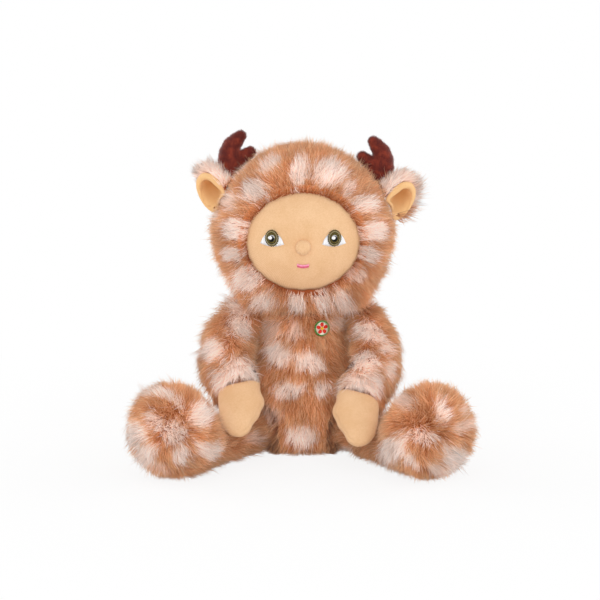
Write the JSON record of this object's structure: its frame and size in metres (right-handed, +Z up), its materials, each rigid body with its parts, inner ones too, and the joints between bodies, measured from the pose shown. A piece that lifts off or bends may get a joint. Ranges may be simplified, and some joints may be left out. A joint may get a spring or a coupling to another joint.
{
  "type": "plush deer doll",
  "caption": "Seated soft doll in a long-pile spotted deer costume with a hood, ears and velour antlers, a cotton face and hands, and sewn arms, legs and head that turn.",
  "frame": {"origin": "middle of the torso's flat seat, on the surface that the doll sits on", "axes": "-Y is where the doll faces, +X its own left, +Z up"},
  "size_m": [0.2538, 0.1949, 0.2448],
  "materials": {
    "fur": "caramel long-pile faux fur with pale spots",
    "cotton": "plain-woven brushed cotton, stuffed",
    "facing_pile": "short brown pile, rolled",
    "ear_lining": "short velour",
    "antler_velour": "dark brown velour, stuffed",
    "white_thread": "satin stitch",
    "iris_thread": "satin stitch in rings",
    "mouth_thread": "satin stitch",
    "badge_thread": "satin stitch patch"
  },
  "bodies": {
    "torso": {"torso": "fur", "chest_badge": "badge_thread", "tail": "fur"},
    "head": {"head": "cotton", "hood": "fur", "hood_facing": "facing_pile", "nose": "cotton", "mouth": "mouth_thread", "left_eye_white": "white_thread", "left_iris": "iris_thread", "left_ear": "fur", "left_ear_lining": "ear_lining", "left_antler": "antler_velour", "right_eye_white": "white_thread", "right_iris": "iris_thread", "right_ear": "fur", "right_ear_lining": "ear_lining", "right_antler": "antler_velour"},
    "left_arm": {"left_arm": "fur", "left_hand": "cotton"},
    "right_arm": {"right_arm": "fur", "right_hand": "cotton"},
    "left_leg": {"left_leg": "fur", "left_sole": "fur"},
    "right_leg": {"right_leg": "fur", "right_sole": "fur"}
  },
  "joints": [
    {"name": "neck_turn", "type": "hinge", "parent": "torso", "child": "head", "pos_m": [0, -0.004, 0.1135], "axis": [0, 0, 1], "range_deg": [-20, 20]},
    {"name": "left_shoulder", "type": "hinge", "parent": "torso", "child": "left_arm", "pos_m": [0.03472, -0.003, 0.0927], "axis": [-0.9816, 0, -0.1908], "range_deg": [0, 40]},
    {"name": "right_shoulder", "type": "hinge", "parent": "torso", "child": "right_arm", "pos_m": [-0.03472, -0.003, 0.0927], "axis": [-0.9816, 0, 0.1908], "range_deg": [0, 40]},
    {"name": "left_hip", "type": "hinge", "parent": "torso", "child": "left_leg", "pos_m": [0.04077, -0.02389, 0.0185], "axis": [-0.8339, -0.5519, 0], "range_deg": [-80, 0]},
    {"name": "right_hip", "type": "hinge", "parent": "torso", "child": "right_leg", "pos_m": [-0.04077, -0.02389, 0.0185], "axis": [-0.809, 0.5878, 0], "range_deg": [-80, 0]}
  ]
}
